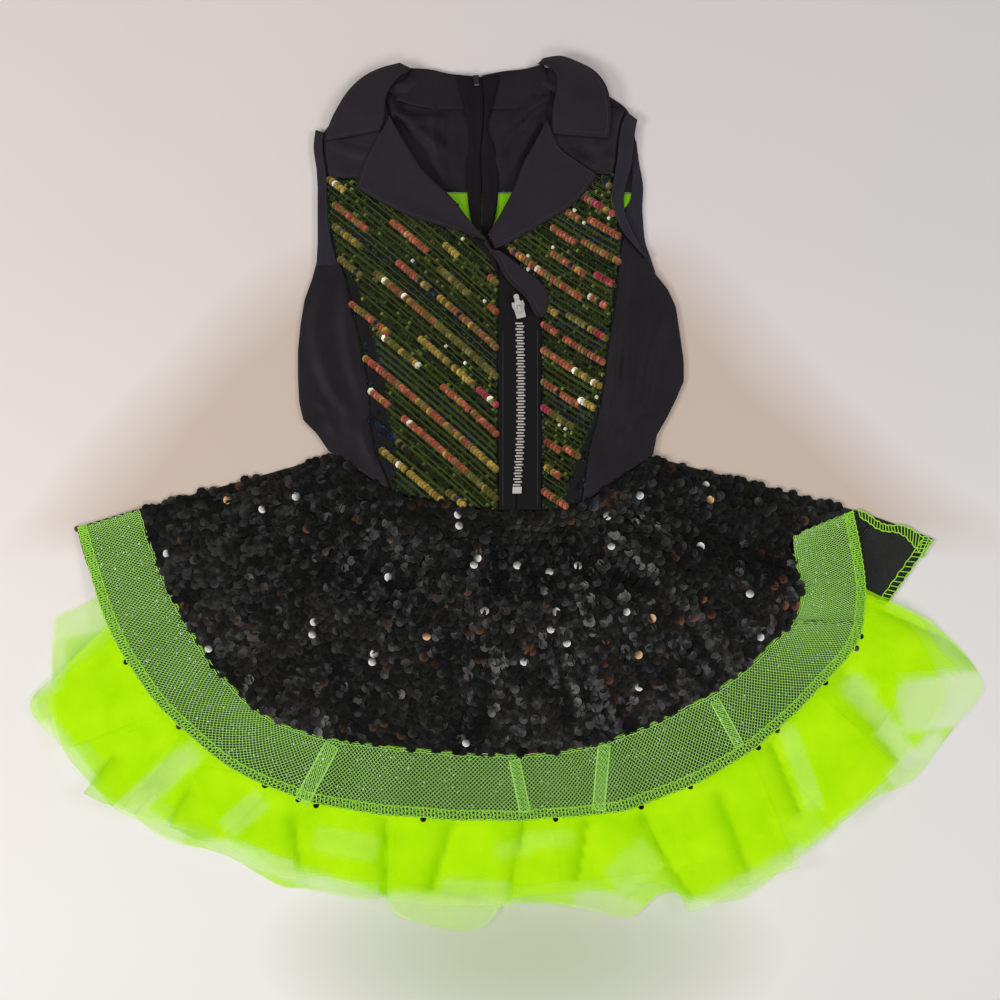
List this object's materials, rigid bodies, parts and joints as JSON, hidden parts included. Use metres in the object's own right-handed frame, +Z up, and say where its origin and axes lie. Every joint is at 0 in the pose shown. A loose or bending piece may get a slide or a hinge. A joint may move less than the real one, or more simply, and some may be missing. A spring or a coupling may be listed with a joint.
{
  "type": "jazz tutu dress",
  "caption": "Sleeveless jazz tutu dress laid flat: zipped sequin bodice with notched lapels, black sequin skirt with a lime horsehair hem, lime net underskirt.",
  "frame": {"origin": "middle of the garment's outline, on the surface it lies on", "axes": "+X across the garment to the right of a viewer who looks down on its front, +Y from the hem to the collar, +Z up from the surface"},
  "size_m": [0.713, 0.6521, 0.0278],
  "materials": {
    "black_lycra": "matte stretch knit with a faint blue-grey sheen",
    "armhole_binding": "folded knit binding with two rows of stitching",
    "zip_facing": "matte black facing",
    "lime_lining": "matte lime knit",
    "lapel_cloth": "smooth matte black double cloth",
    "striped_sequins": "green thread rows with stripes of small coral, gold and dark sequins",
    "zip_tape": "woven black tape",
    "zip_metal": "bright nickel",
    "black_sequins": "overlapping glossy black paillettes on black net",
    "horsehair_band": "lime horsehair mesh over black, with glitter and an overlocked edge",
    "lime_tulle": "translucent fluorescent lime net"
  },
  "bodies": {
    "dress": {"back_yoke_left": "black_lycra", "back_yoke_right": "black_lycra", "front_yoke_left": "black_lycra", "front_yoke_right": "black_lycra", "side_panel_left": "black_lycra", "side_panel_right": "black_lycra", "armhole_binding_left": "armhole_binding", "armhole_binding_right": "armhole_binding", "back_facing_left": "zip_facing", "back_facing_right": "zip_facing", "back_panel_left": "lime_lining", "back_panel_right": "lime_lining", "lapel_tab": "lapel_cloth", "lapel_left": "lapel_cloth", "lapel_right": "lapel_cloth", "collar_left": "lapel_cloth", "collar_right": "lapel_cloth", "collar_stand_left": "lapel_cloth", "collar_stand_right": "lapel_cloth", "front_panel_left": "striped_sequins", "front_panel_right": "striped_sequins", "zip_tape_left": "zip_tape", "zip_tape_right": "zip_tape", "zip_chain": "zip_metal", "zip_stop": "zip_metal", "zip_slider": "zip_metal", "skirt_back": "black_sequins", "skirt_front": "black_sequins", "hem_band_back": "horsehair_band", "hem_band_front": "horsehair_band", "tulle_lower": "lime_tulle", "tulle_middle": "lime_tulle", "tulle_upper": "lime_tulle"},
    "pull": {"zip_pull": "zip_metal"}
  },
  "joints": [
    {"name": "zip_pull_hinge", "type": "hinge", "parent": "dress", "child": "pull", "pos_m": [0.0088, 0.135, 0.0106], "axis": [0.9703, 0.2419, 0], "range_deg": [0, 180]}
  ]
}
